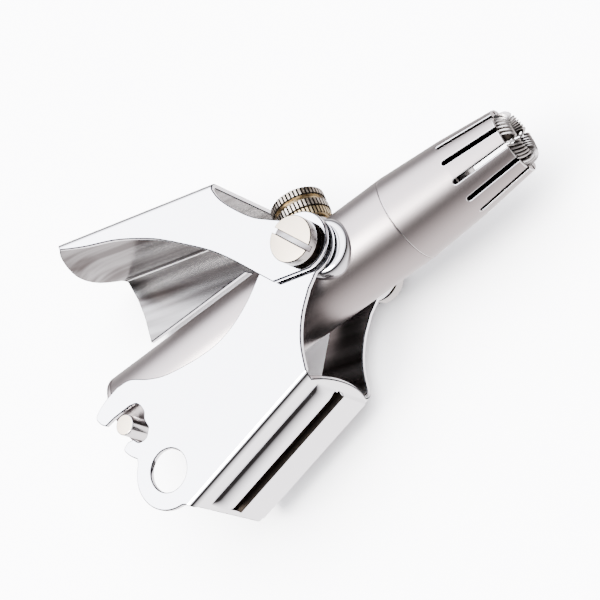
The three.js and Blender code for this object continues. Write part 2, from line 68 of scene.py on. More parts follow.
AXIS_Y = -1.0
AXIS = (0, AXIS_Y, 0)
BARREL_R = 7.0
TAIL_X = -42.0
CAP_RIM_X = TAIL_X + 1.0
BARREL_FROM_X = TAIL_X + 1.1
PLUG_END_X = TAIL_X + 7.5
SEAM_X = 12.6
SEAM_GAP = -0.01
SEAM_BRIGHT = 0.2
SEAM_STEP = 0.05
BORE_R = 6.2
SLOT_COUNT = 12
SLOT_W = 0.8
SLOT_ROOT_X = 23.5
TIP_X = 32.3
ROOT_R = 6.25
TIP_R = 5.25
PRONG_WALL = 0.85
PRONG_RIM = 0.14
GUARD_STEPS = 120
ROTOR_BACK_X = 22.0
ROTOR_BACK_R = 4.9
ROTOR_TIP_R = 4.15
ROTOR_WALL = 0.95
ROTOR_STEPS = 90
ROTOR_FLOOR = (0.1, 1.0)
BLADE_COUNT = 6
BLADE_GAP = 1.3
BLADE_RIM = 0.08
SOCKET_R = 5.6
SOCKET_END_X = 20.0
PRONG_FROM_X = 22.5
LOWER_OUT = 8.85
UPPER_OUT = 10.1
SCREW_IN, SCREW_OUT = 10.16, 13.0
SCREW_NECK = 11.3
SCREW_R = 3.55
SCREW_SLOT_W = 0.85
SCREW_SLOT_DEPTH = 0.9
SCREW_SLOT_TURN = math.radians(-58)
SHAFT_R = 1.5
EAR_R = 4.5
EAR_LIFT = 0.5
BEND_R = 1.25
ROOF_TILT = math.radians(-17.0)
ROOF_DIST = 15.0
WEB_TILT = math.radians(14.7)
WEB_DIST = 15.0
SHEET = 0.85
RIM = 0.17
RIM_STEPS = 2
BEND_STEPS = 8
SMOOTH_DOT = 0.75
LANYARD = (-35.0, -17.0)
LANYARD_R = 3.3
LOBE_R = 6.0
WEB_TAIL = -38.4
WEB_NOSE = -12.9
BEAD_Z = 3.0
BEAD_R = 2.9
BEAD_PROUD = 1.3
PANEL_Z = -4.15
PANEL_W = 6.5
PANEL_PROUD = 0.7
PRESS_FROM = -37.4
PRESS_TO = -12.9
PRESS_EDGE = 0.3
GROOVE_SHADE_LAP = 0.2
BEAD_DOME = 1.6
BEAD_STEPS = 12
TONGUE_U = 44.2
CURL_FROM = 43.0
CURL = 0.05
BOSS_X = 1.6
BOSS_R = 4.5
BOSS_TOP = 7.8
BOSS_ROUND = 2.4
SEAT_R = 3.6
SEAT_TOP = 7.5
PIN = (1.6, 9.5)
PIN_AT = (-39.0, -6.6, 0.0)
SPINDLE_R = 1.1
BLADE_ROOT_X = 23.4
CROWN_X = 32.0
CROWN_MID = (32.5, 3.5)
CROWN_SIZE = (1.45, 0.85)
CROWN_TEETH = 6
CROWN_LEAN = 0.5
CROWN_GAP = 0.6
CROWN_STEPS = 10
CROWN_START = -0.12
CROWN_SWEEP = 1.24
TOOTH_SHARE = 0.29
CORE_INSET = 0.28
CORE_GAP = 0.02
STUD_R = 1.2
KNOB_WAIST_R = 3.6
KNOB_R = 4.35
KNOB_BASE_R = 4.2
KNOB_BORE_R = 1.3
KNOB_BASE_Y = (7.7, 9.0)
KNOB_LOWER_Y = (9.02, 10.5)
KNOB_WAIST_Y = (10.5, 11.2)
KNOB_UPPER_Y = (11.2, 12.6)
WAIST_HOLLOW = 0.25
KNURL_COUNT = 44
BASE_KNURL = (0.22, 0.1)
RIM_KNURL = (0.26, 0.15)
FACE_LIP = 0.25
FACE_STEP = 0.45
FACE_SINK = 0.12
BOSS_FOOT = 1.5
STUD_Y = (4.4, 12.3)
SEAT_FOOT_Y = 4.5
KNOB_X = -2.3

# Material slots of a folded or rolled sheet, and the normals that tell its faces apart
OUTER_SLOT, RIM_SLOT, GROOVE_SHADE_SLOT, INNER_SLOT, WALL_SLOT = range(5)
FLAT_DOT = 0.999
WALL_DOT = 0.15
SIDE_DOT = 0.7

# Material slots of a screw head, after slot 0, its side; the slot floor and the dark slot hold
# painted shade
SCREW_TOP, SCREW_FLOOR, SCREW_SHADE = 1, 2, 3

# ---- Camera and light -------------------------------------------------------------------

CAMERA_AT = (95.83, -138.07, 228.7)
CAMERA_UP = (0.5508, 0.8024, 0.2296)
CAMERA_BACK = (0.36433, -0.47746, 0.79953)
LENS = 114.5
HORIZON_NEAR = (0.004, 0.0035, 0.0035)
HORIZON_BACK = (0.05, 0.048, 0.05)
OVERHEAD = (0.93, 0.935, 1.0)
UNDERFOOT = (0.36, 0.34, 0.345)
ZENITH = (0.0, 0.35, 0.937)
SKY_BAND = (0.52, 0.84)
BENCH_BAND = (-0.88, 0.20)
SIDE_BAND = (-0.3, 0.7)
WORLD_GAIN = 9.0
KEY_FROM = (-0.36, -0.15, 0.92)
KEY_SIZE = (0.35, 0.22)
KEY_COLOUR = (1.0, 0.955, 0.91)
KEY_W = 14.0
FILL_FROM = (0.1, 0.1, 1.0)
FILL_SIZE = (2.2, 2.2)
FILL_W = 260.0


def place(x, y, z):
    """A point in the part's own millimetres, in the row frame in metres."""
    return Vector((PIVOT.x + x * MM, PIVOT.y + y * MM, PIVOT.z + z * MM))


# ---- Mesh helpers -----------------------------------------------------------------------


def to_object(bm, name, smooth_angle=30.0):
    """Makes an object of a bmesh drawn in the part's millimetres."""
    for v in bm.verts:
        v.co = place(*v.co)
    bmesh.ops.recalc_face_normals(bm, faces=bm.faces)
    mesh = bpy.data.meshes.new(name)
    bm.to_mesh(mesh)
    bm.free()
    mesh.shade_smooth()
    mesh.set_sharp_from_angle(angle=math.radians(smooth_angle))
    obj = bpy.data.objects.new(name, mesh)
    bpy.context.scene.collection.objects.link(obj)
    return obj


def bevel(obj, width, segments=2, angle=30.0):
    """Rounds the edges of an object by a width in millimetres."""
    m = obj.modifiers.new("edges", "BEVEL")
    m.width = width * MM
    m.segments = segments
    m.limit_method = "ANGLE"
    m.angle_limit = math.radians(angle)
    m.harden_normals = True
    m.use_clamp_overlap = True
    return m


def lathe(profile, steps, axis, centre=(0.0, 0.0, 0.0), closed=False):
    """Turns (along, radius) pairs about an axis. An end at radius 0 closes to a point."""
    bm = bmesh.new()
    rings = []
    for along, radius in profile:
        if radius < 1e-6:
            rings.append([bm.verts.new(turned(axis, centre, along, 0.0, 0.0))])
            continue
        ring = []
        for i in range(steps):
            ring.append(bm.verts.new(turned(axis, centre, along, radius, 2 * math.pi * i / steps)))
        rings.append(ring)
    pairs = list(zip(rings, rings[1:]))
    if closed:
        pairs.append((rings[-1], rings[0]))
    for a, b in pairs:
        join_rings(bm, a, b)
    return bm


def turned(axis, centre, along, radius, angle):
    c, s = radius * math.cos(angle), radius * math.sin(angle)
    x, y, z = centre
    if axis == "X":
        return (x + along, y + c, z + s)
    if axis == "Y":
        return (x + s, y + along, z + c)
    return (x + c, y + s, z + along)


def join_rings(bm, a, b):
    n = max(len(a), len(b))
    for i in range(n):
        k = (i + 1) % n
        corners = [a[i % len(a)], a[k % len(a)], b[k % len(b)], b[i % len(b)]]
        distinct = []
        for v in corners:
            if v not in distinct:
                distinct.append(v)
        if len(distinct) > 2:
            bm.faces.new(distinct)


def arc(cx, cy, r, a0, a1, steps):
    """Points of an arc, angles in degrees."""
    out = []
    for i in range(steps + 1):
        a = math.radians(a0 + (a1 - a0) * i / steps)
        out.append((cx + r * math.cos(a), cy + r * math.sin(a)))
    return out


def spline(points, steps=8):
    """A smooth curve through points, both ends kept (centripetal Catmull-Rom)."""
    pts = [Vector(p) for p in points]
    pts = [2 * pts[0] - pts[1]] + pts + [2 * pts[-1] - pts[-2]]
    out = []
    for i in range(1, len(pts) - 2):
        p0, p1, p2, p3 = pts[i - 1:i + 3]
        for k in range(steps):
            t = k / steps
            out.append(tuple(0.5 * (
                2 * p1 + (p2 - p0) * t
                + (2 * p0 - 5 * p1 + 4 * p2 - p3) * t * t
                + (3 * p1 - p0 - 3 * p2 + p3) * t ** 3
            )))
    out.append(tuple(pts[-2]))
    return out


def cut(obj, cutters):
    """Cuts shapes out of an object and applies the result."""
    for c in cutters:
        m = obj.modifiers.new("cut", "BOOLEAN")
        m.operation = "DIFFERENCE"
        m.solver = "EXACT"
        m.object = c
    bake_modifiers(obj)
    for c in cutters:
        bpy.data.objects.remove(c)


def bake_modifiers(obj):
    dg = bpy.context.evaluated_depsgraph_get()
    mesh = bpy.data.meshes.new_from_object(obj.evaluated_get(dg))
    obj.modifiers.clear()
    obj.data = mesh


def box_mesh(x0, x1, y0, y1, z0, z1):
    bm = bmesh.new()
    bmesh.ops.create_cube(bm, size=1.0)
    for v in bm.verts:
        v.co = Vector((
            x0 if v.co.x < 0 else x1,
            y0 if v.co.y < 0 else y1,
            z0 if v.co.z < 0 else z1,
        ))
    return bm


def turn_about(bm, axis, angle, centre):
    m = Matrix.Translation(Vector(centre)) @ Matrix.Rotation(angle, 4, axis)
    bmesh.ops.transform(bm, matrix=m @ Matrix.Translation(-Vector(centre)), verts=bm.verts)


# ---- Materials --------------------------------------------------------------------------


def metal(name, colour, rough):
    """A metal with its own node tree, and the handles that the finishes below add to."""
    m = bpy.data.materials.new(name)
    m.use_nodes = True
    nt = m.node_tree
    bsdf = nt.nodes["Principled BSDF"]
    bsdf.inputs["Base Color"].default_value = (*colour, 1)
    bsdf.inputs["Metallic"].default_value = 1.0
    bsdf.inputs["Roughness"].default_value = rough
    where = nt.nodes.new("ShaderNodeTexCoord")
    return m, nt, bsdf, where.outputs["Object"]


def noise(nt, vector, scale, stretch=(1, 1, 1), detail=3.0):
    mapping = nt.nodes.new("ShaderNodeMapping")
    mapping.inputs["Scale"].default_value = stretch
    nt.links.new(vector, mapping.inputs["Vector"])
    tex = nt.nodes.new("ShaderNodeTexNoise")
    tex.inputs["Scale"].default_value = scale
    tex.inputs["Detail"].default_value = detail
    nt.links.new(mapping.outputs["Vector"], tex.inputs["Vector"])
    return tex.outputs["Fac"]


def ramp(nt, value, low, high, out_low, out_high):
    r = nt.nodes.new("ShaderNodeMapRange")
    r.inputs["From Min"].default_value = low
    r.inputs["From Max"].default_value = high
    r.inputs["To Min"].default_value = out_low
    r.inputs["To Max"].default_value = out_high
    nt.links.new(value, r.inputs["Value"])
    return r.outputs["Result"]


def bump(nt, bsdf, height, strength, distance):
    b = nt.nodes.new("ShaderNodeBump")
    b.inputs["Strength"].default_value = strength
    b.inputs["Distance"].default_value = distance
    nt.links.new(height, b.inputs["Height"])
    nt.links.new(b.outputs["Normal"], bsdf.inputs["Normal"])


def blend(nt, factor, a, b):
    """Mixes two colours, each a constant or another node's output."""
    mix = nt.nodes.new("ShaderNodeMix")
    mix.data_type = "RGBA"
    nt.links.new(factor, mix.inputs["Factor"])
    for socket, colour in ((mix.inputs["A"], a), (mix.inputs["B"], b)):
        if isinstance(colour, tuple):
            socket.default_value = (*colour, 1)
        else:
            nt.links.new(colour, socket)
    return mix.outputs["Result"]


def tint(nt, bsdf, value, dark, light):
    nt.links.new(blend(nt, value, dark, light), bsdf.inputs["Base Color"])


def satin_material():
    """Barrel and head: satin steel, slightly warm, too fine to show a brushing direction."""
    m, nt, bsdf, co = metal("satin_steel", (0.33, 0.30, 0.295), 0.3)
    grain = noise(nt, co, 9000.0, detail=2.0)
    cloud = noise(nt, co, 60.0, detail=2.0)
    nt.links.new(ramp(nt, grain, 0.3, 0.7, 0.29, 0.33), bsdf.inputs["Roughness"])
    tint(nt, bsdf, cloud, (0.315, 0.28, 0.276), (0.35, 0.313, 0.308))
    return m


def chrome_material():
    """Levers: mirror chrome with the faint waviness and dust haze of pressed sheet."""
    m, nt, bsdf, co = metal("chrome_sheet", (0.90, 0.905, 0.93), 0.06)
    wave = noise(nt, co, 70.0, detail=1.0)
    haze = noise(nt, co, 420.0, detail=5.0)
    nt.links.new(ramp(nt, haze, 0.35, 0.75, 0.05, 0.12), bsdf.inputs["Roughness"])
    bump(nt, bsdf, wave, 0.03, 0.0003)
    return m


def collar_material():
    m, nt, bsdf, co = metal("chrome_collar", (0.60, 0.60, 0.62), 0.08)
    haze = noise(nt, co, 500.0, detail=4.0)
    nt.links.new(ramp(nt, haze, 0.35, 0.7, 0.06, 0.14), bsdf.inputs["Roughness"])
    return m


def blasted_material():
    """Screw and pin faces: bead blasted, cream tinted."""
    m, nt, bsdf, co = metal("blasted_steel", (0.86, 0.82, 0.77), 0.5)
    grains = noise(nt, co, 5200.0, detail=2.0)
    nt.links.new(ramp(nt, grains, 0.3, 0.7, 0.42, 0.6), bsdf.inputs["Roughness"])
    tint(nt, bsdf, grains, (0.60, 0.51, 0.40), (0.78, 0.68, 0.55))
    bump(nt, bsdf, grains, 0.35, 0.00004)
    return m


def polished_material(name, colour):
    m, nt, bsdf, co = metal(name, colour, 0.15)
    turn_marks = noise(nt, co, 1500.0, detail=3.0)
    nt.links.new(ramp(nt, turn_marks, 0.3, 0.7, 0.1, 0.22), bsdf.inputs["Roughness"])
    return m


def dark_material():
    """Cutter: hard ground tool steel with darker grinding streaks; the dark between the crown's
    teeth is painted shade, from the core's own material.
    """
    m, nt, bsdf, co = metal("cutter_steel", (0.42, 0.40, 0.39), 0.3)
    grind = noise(nt, co, 1400.0, stretch=(1, 4, 4), detail=3.0)
    nt.links.new(ramp(nt, grind, 0.3, 0.7, 0.2, 0.42), bsdf.inputs["Roughness"])
    tint(nt, bsdf, grind, (0.30, 0.28, 0.27), (0.55, 0.53, 0.51))
    bump(nt, bsdf, grind, 0.1, 0.00005)
    return m


def knurl_material():
    """Knob rims: nickelled and knurled, brassy in patches where the plating is thin."""
    m, nt, bsdf, co = metal("knurled_steel", (0.45, 0.42, 0.38), 0.28)
    patch = noise(nt, co, 900.0, detail=4.0)
    nt.links.new(ramp(nt, patch, 0.3, 0.7, 0.18, 0.4), bsdf.inputs["Roughness"])
    tint(nt, bsdf, ramp(nt, patch, 0.35, 0.65, 0.0, 1.0), (0.30, 0.25, 0.19), (0.62, 0.57, 0.50))
    bump(nt, bsdf, patch, 0.2, 0.00006)
    return m


def dull_rim_painted_dark_material():
    """The rounded rims of the pressed sheet: duller than the mirror faces, and painted near black as
    the dark reflections the rims show.
    """
    m, nt, bsdf, co = metal("sheared_rim_painted_dark", (0.10, 0.10, 0.11), 0.25)
    nick = noise(nt, co, 1800.0, detail=4.0)
    nt.links.new(ramp(nt, nick, 0.3, 0.7, 0.15, 0.4), bsdf.inputs["Roughness"])
    tint(nt, bsdf, ramp(nt, nick, 0.4, 0.72, 0.0, 1.0), (0.006, 0.006, 0.007), (0.06, 0.06, 0.065))
    return m


def painted_hollow_shade_material():
    """Near-black painted shade for hollows, grooves, slots and the gaps between teeth."""
    m, nt, bsdf, co = metal("hollow_painted_shade", (0.01, 0.008, 0.007), 0.4)
    bsdf.inputs["Specular Tint"].default_value = (0.12, 0.11, 0.10, 1)
    film = noise(nt, co, 1200.0, detail=3.0)
    nt.links.new(ramp(nt, film, 0.3, 0.7, 0.3, 0.55), bsdf.inputs["Roughness"])
    tint(nt, bsdf, film, (0.003, 0.0025, 0.002), (0.02, 0.016, 0.013))
    return m


def painted_inside_shade_material():
    """The levers' inner faces: drawn, unpolished sheet painted dark, its long grey and brown streaks
    painted shade and painted reflection.
    """
    m, nt, bsdf, co = metal("inside_sheet_painted_shade", (0.2, 0.19, 0.19), 0.24)
    along = nt.nodes.new("ShaderNodeMapping")
    along.vector_type = "TEXTURE"
    along.inputs["Rotation"].default_value = (0, 0, ROOF_TILT)
    along.inputs["Scale"].default_value = (14, 1, 1)
    nt.links.new(co, along.inputs["Vector"])
    streak = noise(nt, along.outputs["Vector"], 330.0, detail=2.0)
    nt.links.new(ramp(nt, streak, 0.3, 0.7, 0.18, 0.28), bsdf.inputs["Roughness"])
    band = ramp(nt, streak, 0.36, 0.64, 0.0, 1.0)
    tint(nt, bsdf, band, (0.075, 0.064, 0.062), (0.33, 0.325, 0.325))
    return m


def bronze_material():
    m, nt, bsdf, co = metal("bronze", (0.55, 0.43, 0.24), 0.3)
    patch = noise(nt, co, 700.0, detail=4.0)
    nt.links.new(ramp(nt, patch, 0.3, 0.7, 0.2, 0.42), bsdf.inputs["Roughness"])
    tint(nt, bsdf, patch, (0.42, 0.32, 0.17), (0.68, 0.55, 0.33))
    return m


SATIN = satin_material()
CHROME = chrome_material()
COLLAR = collar_material()
BLASTED = blasted_material()
POLISHED = polished_material("polished_steel", (0.72, 0.71, 0.71))
INNER = polished_material("inner_steel", (0.60, 0.59, 0.58))
CUTTER = dark_material()
KNURL = knurl_material()
BRONZE = bronze_material()
PAINTED_DARK_RIM = dull_rim_painted_dark_material()
PAINTED_HOLLOW_SHADE = painted_hollow_shade_material()
PAINTED_INSIDE_SHADE = painted_inside_shade_material()

NODE_FINISH = {
    "barrel_tube": SATIN, "tail_cap": SATIN, "head_guard": SATIN,
    "stop_pin": BLASTED, "pivot_screw_near": BLASTED, "pivot_screw_far": BLASTED,
    "pivot_boss_near": COLLAR, "pivot_boss_far": COLLAR, "knob_seat": COLLAR,
    "finger_lever": CHROME, "thumb_lever": CHROME,
    "guard_spigot": CUTTER, "cutter_rotor": CUTTER, "rotor_nut": CUTTER,
    "knob_base": KNURL, "knob_rim_lower": KNURL, "knob_rim_upper": KNURL,
    "knob_waist": BRONZE, "crown_wheel": BRONZE, "rear_bearing": BRONZE, "front_bearing": BRONZE,
}
for name, node in frame["nodes"].items():
    node.data.materials.clear()
    node.data.materials.append(NODE_FINISH.get(name, INNER))


def finish_piece(obj, body, slot, materials, *nodes):
    """Gives a piece its materials and says what it rides on and stands for."""
    indices = [f.material_index for f in obj.data.polygons]
    obj.data.materials.clear()
    for material in materials:
        obj.data.materials.append(material)
    obj.data.polygons.foreach_set("material_index", [min(i, len(materials) - 1) for i in indices])
    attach(obj, body)
    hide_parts(*nodes)
    return obj


# ---- Folded and rolled sheet ------------------------------------------------------------


def flat_sheet(outline, holes, thickness, rim):
    """A closed flat sheet with rounded rims: x, y in the plane, z from 0 down to -thickness."""
    curve = bpy.data.curves.new("flat", "CURVE")
    curve.dimensions = "2D"
    curve.fill_mode = "BOTH"
    curve.extrude = thickness / 2 - rim
    curve.bevel_depth = rim
    curve.bevel_resolution = RIM_STEPS
    curve.offset = -rim
    for loop in [outline, *holes]:
        line = curve.splines.new("POLY")
        line.points.add(len(loop) - 1)
        for point, (u, v) in zip(line.points, loop):
            point.co = (u, v, 0, 1)
        line.use_cyclic_u = True
    holder = bpy.data.objects.new("flat", curve)
    bpy.context.scene.collection.objects.link(holder)
    bpy.context.view_layer.update()
    dg = bpy.context.evaluated_depsgraph_get()
    mesh = bpy.data.meshes.new_from_object(holder.evaluated_get(dg))
    bpy.data.objects.remove(holder)
    bm = bmesh.new()
    bm.from_mesh(mesh)
    bpy.data.meshes.remove(mesh)
    bmesh.ops.translate(bm, vec=(0, 0, -thickness / 2), verts=bm.verts)
    bmesh.ops.remove_doubles(bm, verts=bm.verts, dist=1e-4)
    bmesh.ops.recalc_face_normals(bm, faces=bm.faces)
    return bm


def slice_sheet(bm, u_lines=(), v_lines=(), keep_v=None):
    """Adds mesh lines where the sheet will bend, and trims it to a range of v."""
    for lines, normal in ((u_lines, (1, 0, 0)), (v_lines, (0, 1, 0))):
        for at in lines:
            geom = bm.verts[:] + bm.edges[:] + bm.faces[:]
            bmesh.ops.bisect_plane(
                bm, geom=geom, dist=1e-5, plane_co=tuple(at * c for c in normal), plane_no=normal)
    if keep_v:
        for at, sign in ((keep_v[0], -1), (keep_v[1], 1)):
            geom = bm.verts[:] + bm.edges[:] + bm.faces[:]
            bmesh.ops.bisect_plane(bm, geom=geom, dist=1e-5, plane_co=(0, at, 0),
                                   plane_no=(0, sign, 0), clear_outer=True)


def sheet_slot(normal):
    """The material slot of a flat sheet's face, from the way it faces."""
    if normal.z < -FLAT_DOT:
        return INNER_SLOT
    if WALL_DOT < abs(normal.z) < FLAT_DOT:
        return RIM_SLOT
    if abs(normal.z) < WALL_DOT and abs(normal.x) < SIDE_DOT:
        return WALL_SLOT
    return OUTER_SLOT


def roll(bm, thickness, shape, name):
    """Bends a flat sheet by a function of its points, with exact normals, into an object."""
    bm.verts.ensure_lookup_table()
    bm.normal_update()
    at = np.array([v.co for v in bm.verts])
    corners, flat_normals, centres = [], [], []
    for face in bm.faces:
        centre = face.calc_center_median()
        cap = abs(face.normal.z) > FLAT_DOT
        for vert in face.verts:
            corners.append(vert.index)
            centres.append(centre)
            if vert.co.z > -1e-4:
                flat_normals.append((0, 0, 1))
            elif vert.co.z < 1e-4 - thickness:
                flat_normals.append((0, 0, -1))
            elif cap:
                flat_normals.append(face.normal)
            else:
                near = [f.normal for f in vert.link_faces
                        if f.normal.dot(face.normal) > SMOOTH_DOT and abs(f.normal.z) < FLAT_DOT]
                flat_normals.append(sum(near, Vector()).normalized())
    faces = [[v.index for v in f.verts] for f in bm.faces]
    slots = [f.material_index or sheet_slot(f.normal) for f in bm.faces]
    bm.free()
    corner_at = at[corners] + 1e-3 * (np.array(centres) - at[corners])
    step = 1e-5
    jac = np.empty((len(corner_at), 3, 3))
    for k in range(3):
        delta = np.zeros(3)
        delta[k] = step
        jac[:, :, k] = (shape(corner_at + delta) - shape(corner_at - delta)) / (2 * step)
    normals = np.einsum("nji,nj->ni", np.linalg.inv(jac), np.array(flat_normals, float))
    normals /= np.linalg.norm(normals, axis=1)[:, None]
    flipped = np.linalg.det(jac).mean() < 0
    points = shape(at) * MM + np.array(PIVOT)
    if flipped:
        order = []
        start = 0
        for face in faces:
            order.extend(range(start + len(face) - 1, start - 1, -1))
            start += len(face)
        normals = normals[order]
        faces = [face[::-1] for face in faces]
    mesh = bpy.data.meshes.new(name)
    mesh.from_pydata([tuple(p) for p in points], [], faces)
    mesh.shade_smooth()
    mesh.polygons.foreach_set("material_index", slots)
    mesh.normals_split_custom_set([tuple(n) for n in normals])
    obj = bpy.data.objects.new(name, mesh)
    bpy.context.scene.collection.objects.link(obj)
    return obj


def unturned(x, y, tilt):
    c, s = math.cos(tilt), math.sin(tilt)
    return x * c + y * s, y * c - x * s


class Channel:
    """A U-shaped fold: a back, two rounded bends and two cheeks, turned about the pivot."""

    def __init__(self, distance, outside, tilt):
        self.distance, self.tilt = distance, tilt
        self.half = outside - BEND_R
        self.bend = BEND_R * math.pi / 2

    def unfold(self, points, side):
        """Cheek outline points in the flat sheet, cut off where they reach the bend."""
        flat, previous = [], None
        for x, y in points:
            u, across = unturned(x, y, self.tilt)
            height = across + self.distance - BEND_R
            now = (u, height)
            if previous is not None and (previous[1] < 0) != (height < 0):
                share = previous[1] / (previous[1] - height)
                flat.append((previous[0] + share * (u - previous[0]), 0.0))
                if height < 0:
                    break
            if height >= 0:
                flat.append(now)
            previous = now
        return [(u, side * (self.half + self.bend + h)) for u, h in flat]

    def bend_lines(self):
        ends = [self.half + self.bend * i / BEND_STEPS for i in range(BEND_STEPS + 1)]
        return [-v for v in ends] + ends

    def fold(self, dent):
        def shape(p):
            u, v, w = p[:, 0], p[:, 1], -p[:, 2]
            across = np.abs(v)
            w = w + dent(u, v)
            angle = np.clip(across - self.half, 0, self.bend) / BEND_R
            beyond = np.maximum(across - self.half - self.bend, 0)
            z = np.sign(v) * (np.minimum(across, self.half) + (BEND_R - w) * np.sin(angle))
            y = BEND_R - self.distance - (BEND_R - w) * np.cos(angle) + beyond
            c, s = math.cos(self.tilt), math.sin(self.tilt)
            return np.stack([u * c - y * s, u * s + y * c, z], axis=1)
        return shape


# ---- Thumb lever ------------------------------------------------------------------------


def thumb_cheek():
    edge = [(-8.4, -21.0), (-8.1, -17.2)]
    edge += spline([(-8.1, -17.2), (-7.0, -12.6), (-5.0, -8.9), (-2.4, -6.0)])[1:]
    edge += arc(0, 0, EAR_R, -93.6, 111.6, 48)
    edge += [(-8.8, 0.9)]
    edge += spline([(-8.8, 0.9), (-12.7, -1.8), (-17.2, -3.8), (-22.0, -4.4), (-28.8, -3.6),
                    (-32.4, -2.3), (-35.6, -0.4), (-38.3, -0.1)])[1:]
    edge += spline([(-38.3, -0.1), (-41.4, -0.9), (-43.6, -2.2), (-43.4, -3.6), (-42.6, -4.5)])[1:]
    edge += [(-40.6, -4.2), (-37.4, -4.1)]
    edge += spline([(-37.4, -4.1), (-36.0, -4.6), (-35.4, -6.2), (-35.8, -7.5), (-35.6, -9.0)])[1:]
    edge += spline([(-35.6, -9.0), (-36.6, -10.2), (-38.0, -10.2), (-38.8, -9.2)])[1:]
    edge += spline([(-38.8, -9.2), (-40.0, -9.1), (-41.0, -9.8), (-40.4, -11.2),
                    (-39.4, -12.4)])[1:]
    edge += arc(LANYARD[0], LANYARD[1], LOBE_R, 142.2, 270, 24)
    return edge + [(-33.8, -23.6), (-33.4, -27.0)]


def thumb_far_cheek():
    edge = [(-8.4, -21.0), (-8.1, -17.2)]
    edge += spline([(-8.1, -17.2), (-7.0, -12.6), (-5.0, -8.9), (-2.4, -6.0)])[1:]
    edge += arc(0, 0, EAR_R, -93.6, 140.4, 56)
    edge += [(-9.9, -4.7)]
    edge += spline([(-9.9, -4.7), (-12.6, -8.1), (-15.6, -11.9), (-18.6, -15.4), (-21.6, -17.4),
                    (-25.4, -18.6)])[1:]
    return edge + [(-33.9, -20.6), (-32.4, -27.0)]


def web_dent(u, v):
    """How far the thumb lever's web is pressed in: a half-round bead and a flat panel stand out."""
    reach = BEAD_R - BEAD_PROUD
    round_part = np.sqrt(np.maximum(BEAD_R ** 2 - (v - BEAD_Z) ** 2, reach ** 2)) - reach
    near_end = np.clip(np.minimum(u - PRESS_FROM, PRESS_TO - u), 0, BEAD_DOME) / BEAD_DOME
    dome = np.sqrt(np.maximum(1 - (1 - near_end) ** 2, 0))
    run = np.clip(np.minimum(u - PRESS_FROM, PRESS_TO - u) / PRESS_EDGE, 0, 1)
    flat = np.clip((PANEL_W / 2 - np.abs(v - PANEL_Z)) / PRESS_EDGE, 0, 1)
    return -round_part * dome - PANEL_PROUD * flat * run


def thumb_lever():
    channel = Channel(WEB_DIST, LOWER_OUT, WEB_TILT)
    near, far = channel.unfold(thumb_cheek(), 1), channel.unfold(thumb_far_cheek(), -1)
    nose = spline([(WEB_NOSE, 8.4), (WEB_NOSE + 1.2, 4.4), (WEB_NOSE + 1.6, 0),
                   (WEB_NOSE + 1.2, -4.4), (WEB_NOSE, -8.4)])
    nose = [(u, v) for u, v in nose if abs(v) < channel.half]
    tail = [(WEB_TAIL, channel.half), (WEB_TAIL, -channel.half)]
    outline = near + tail + far[::-1] + nose[::-1]
    pivot = arc(0, 0, SHAFT_R + 0.1, 0, 360, 48)[:-1]
    holes = [channel.unfold(pivot, side) for side in (1, -1)]
    holes.append(channel.unfold(arc(*LANYARD, LANYARD_R, 0, 360, 64)[:-1], 1))
    bm = flat_sheet(outline, holes, SHEET, RIM)
    bead_half = math.sqrt(BEAD_R ** 2 - (BEAD_R - BEAD_PROUD) ** 2)
    bead_lines = [BEAD_Z + bead_half * math.sin(math.pi / 2 * i / BEAD_STEPS)
                  for i in range(-BEAD_STEPS, BEAD_STEPS + 1)]
    panel_lines = [PANEL_Z + side * (PANEL_W / 2 - e) for side in (-1, 1) for e in (0, PRESS_EDGE)]
    ends = [BEAD_DOME * (1 - math.cos(math.pi / 2 * i / 6)) for i in range(7)] + [PRESS_EDGE]
    slice_sheet(
        bm,
        u_lines=[PRESS_FROM + e for e in ends] + [PRESS_TO - e for e in ends],
        v_lines=channel.bend_lines() + bead_lines + panel_lines,
    )
    # The groove between the panel and the bead gets painted shade, laid a little onto the bead's
    # flank.
    for face in bm.faces:
        spot = face.calc_center_median()
        in_run = PRESS_FROM < spot.x < PRESS_TO - PRESS_EDGE
        in_groove_shade = PANEL_Z + PANEL_W / 2 - PRESS_EDGE < spot.y < BEAD_Z - bead_half + GROOVE_SHADE_LAP
        if in_run and in_groove_shade and spot.z > -RIM:
            face.material_index = GROOVE_SHADE_SLOT
    return roll(bm, SHEET, channel.fold(web_dent), "thumb_lever_sheet")


# ---- Finger lever -----------------------------------------------------------------------


def finger_cheek(deep):
    edge = [(-9.9, 23.0), (-9.9, 18.6)]
    edge += spline([(-9.9, 18.6), (-9.3, 15.4), (-7.7, 12.2), (-5.4, 8.9), (-3.0, 6.7)])[1:]
    edge += arc(0, EAR_LIFT, EAR_R, 100.8, -108, 48)
    edge += [(-6.6, -2.3)]
    edge += spline([(-6.6, -2.3), (-8.2, 0.2), (-11.4, 5.2), (-14.4, 9.1), (-19.5, 14.3)])[1:]
    if deep:
        return edge + [(-40.2, 14.3), (-39.6, 19.0), (-39.6, 22.6), (-40.1, 26.2)]
    return edge + spline([(-19.5, 14.3), (-22.7, 17.1), (-28.2, 20.8), (-33.6, 23.4),
                          (-36.4, 24.9), (-38.6, 26.2)])[1:]


def roof_dent(u, v):
    """The tongue's free end curls in toward the hand, most in its middle."""
    past = np.maximum(u - CURL_FROM, 0)
    middle = np.maximum(1 - (v / (UPPER_OUT - BEND_R)) ** 2, 0)
    return CURL * past ** 2 * middle


